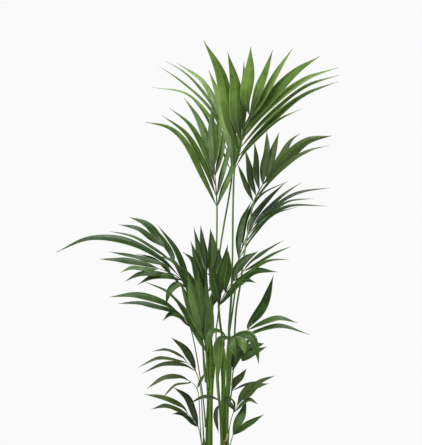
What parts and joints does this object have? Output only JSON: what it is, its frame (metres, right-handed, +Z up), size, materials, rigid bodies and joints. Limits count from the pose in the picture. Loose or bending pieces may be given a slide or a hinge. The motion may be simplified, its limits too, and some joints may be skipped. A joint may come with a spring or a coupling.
{
  "type": "potted palm",
  "caption": "Clump of young kentia palms with upright stems and arching pinnate leaves, planted in a plain round nursery pot.",
  "frame": {"origin": "middle of the pot's flat underside, on the floor", "axes": "+Z up, the front of the plant towards -Y, +X to the right of someone looking at the front"},
  "size_m": [0.9327, 0.6373, 1.594],
  "materials": {
    "pot": "satin moulded polypropylene",
    "soil": "damp peat potting mix",
    "stem": "living leaf sheath",
    "dry_stalk": "dry and fibrous",
    "leaf": "waxy living leaf"
  },
  "bodies": {
    "root": {"pot": "pot", "soil": "soil", "stem_left": "stem", "stem_right": "stem", "stem_back": "stem", "stem_slender": "stem", "stem_small_left": "stem", "stem_small_right": "stem", "old_stalk": "dry_stalk", "leaf_a": "leaf", "leaf_b": "leaf", "leaf_c": "leaf", "leaf_d": "leaf", "leaf_e": "leaf", "leaf_f": "leaf", "leaf_g": "leaf", "leaf_h": "leaf", "leaf_i": "leaf", "leaf_j": "leaf", "leaf_k": "leaf", "leaf_l": "leaf", "leaf_m": "leaf", "leaf_n": "leaf", "leaf_o": "leaf", "leaf_p": "leaf", "leaf_q": "leaf", "leaf_r": "leaf", "leaf_s": "leaf", "leaf_t": "leaf", "leaf_u": "leaf"}
  },
  "joints": []
}
